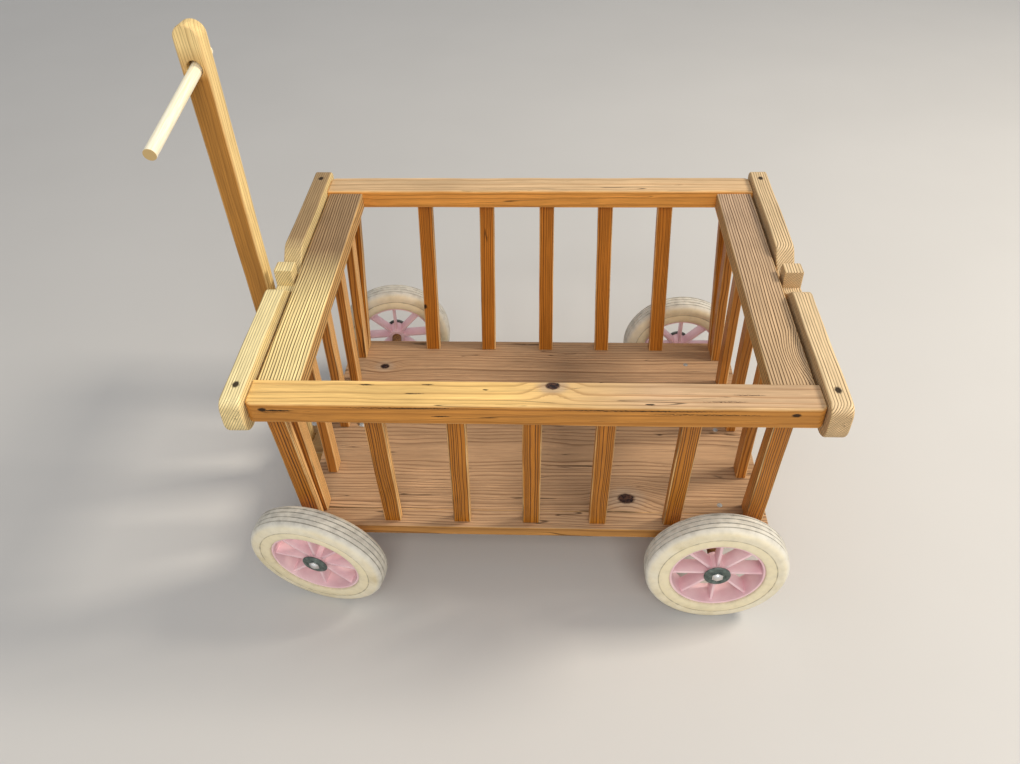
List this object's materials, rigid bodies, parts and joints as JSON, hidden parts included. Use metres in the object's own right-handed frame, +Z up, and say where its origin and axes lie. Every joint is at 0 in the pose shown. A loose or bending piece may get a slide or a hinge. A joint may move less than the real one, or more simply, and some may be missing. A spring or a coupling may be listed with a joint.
{
  "type": "ladder wagon",
  "caption": "Small wooden hand cart with slatted sides, scalloped end boards, solid cream tyres on pink rims and an upright drawbar with a cross rod.",
  "frame": {"origin": "on the ground, below the middle of the whole outline seen from above, drawbar included", "axes": "+X to the rear along the wagon, +Y to the far side, +Z up; the drawbar is at -X"},
  "size_m": [0.7874, 0.591, 0.7658],
  "materials": {
    "pine_rail": "worn oiled pine, honey brown",
    "pine_slat": "varnished pine, orange brown",
    "pine_grey": "weathered pine with open grain",
    "pine_floor": "weathered floor boards, grey brown",
    "pine_under": "plain sawn pine",
    "pine_bar": "worn oiled pine",
    "beech_rod": "new bare beech",
    "cream_rubber": "matt, yellowed",
    "pink_plastic": "moulded, faded",
    "dark_washer": "dull dark grey green",
    "chrome_nut": "bright",
    "zinc_steel": "dull zinc"
  },
  "bodies": {
    "wagon": {"floor_strip": "pine_floor", "floor_panel": "pine_floor", "side_rail_near": "pine_rail", "side_rail_far": "pine_rail", "end_rail_front": "pine_grey", "end_rail_rear": "pine_grey", "end_board_front": "pine_grey", "end_board_rear": "pine_grey", "end_slats_front": "pine_slat", "end_slats_rear": "pine_slat", "slat_near_1": "pine_slat", "slat_near_2": "pine_slat", "slat_near_3": "pine_slat", "slat_near_4": "pine_slat", "slat_near_5": "pine_slat", "slat_near_6": "pine_slat", "slat_near_7": "pine_slat", "slat_far_1": "pine_slat", "slat_far_2": "pine_slat", "slat_far_3": "pine_slat", "slat_far_4": "pine_slat", "slat_far_5": "pine_slat", "slat_far_6": "pine_slat", "slat_far_7": "pine_slat", "rear_beam": "pine_under", "rear_axle": "zinc_steel", "rear_sleeves": "zinc_steel", "rear_washers": "dark_washer", "rear_nuts": "chrome_nut", "turntable_plate": "zinc_steel", "kingpin": "zinc_steel", "kingpin_nut": "zinc_steel"},
    "front_axle": {"front_beam": "pine_under", "tongue_cheek_near": "pine_under", "tongue_cheek_far": "pine_under", "tongue_block": "pine_under", "front_axle_stubs": "zinc_steel", "front_sleeves": "zinc_steel", "front_washers": "dark_washer", "front_nuts": "chrome_nut", "pivot_bolt": "zinc_steel"},
    "drawbar": {"drawbar": "pine_bar", "handle_rod": "beech_rod"},
    "wheel_rear_near": {"tyre_rear_near": "cream_rubber", "rim_rear_near": "pink_plastic"},
    "wheel_rear_far": {"tyre_rear_far": "cream_rubber", "rim_rear_far": "pink_plastic"},
    "wheel_front_near": {"tyre_front_near": "cream_rubber", "rim_front_near": "pink_plastic"},
    "wheel_front_far": {"tyre_front_far": "cream_rubber", "rim_front_far": "pink_plastic"}
  },
  "joints": [
    {"name": "steering", "type": "hinge", "parent": "wagon", "child": "front_axle", "pos_m": [-0.25034, -0.01245, 0.1127], "axis": [0, 0, 1], "range_deg": [-18, 14]},
    {"name": "drawbar_fold", "type": "hinge", "parent": "front_axle", "child": "drawbar", "pos_m": [-0.35775, -0.00116, 0.07], "axis": [-0.1045, -0.9945, 0], "range_deg": [0, 94]},
    {"name": "wheel_rear_near_spin", "type": "hinge", "parent": "wagon", "child": "wheel_rear_near", "pos_m": [0.28666, -0.26045, 0.1], "axis": [0, 1, 0], "continuous": true},
    {"name": "wheel_rear_far_spin", "type": "hinge", "parent": "wagon", "child": "wheel_rear_far", "pos_m": [0.28666, 0.23555, 0.1], "axis": [0, 1, 0], "continuous": true},
    {"name": "wheel_front_near_spin", "type": "hinge", "parent": "front_axle", "child": "wheel_front_near", "pos_m": [-0.27929, -0.25274, 0.10053], "axis": [0.2064, 0.9709, 0.1219], "continuous": true},
    {"name": "wheel_front_far_spin", "type": "hinge", "parent": "front_axle", "child": "wheel_front_far", "pos_m": [-0.23746, 0.26472, 0.10031], "axis": [-0.1218, 0.9919, -0.0349], "continuous": true}
  ]
}
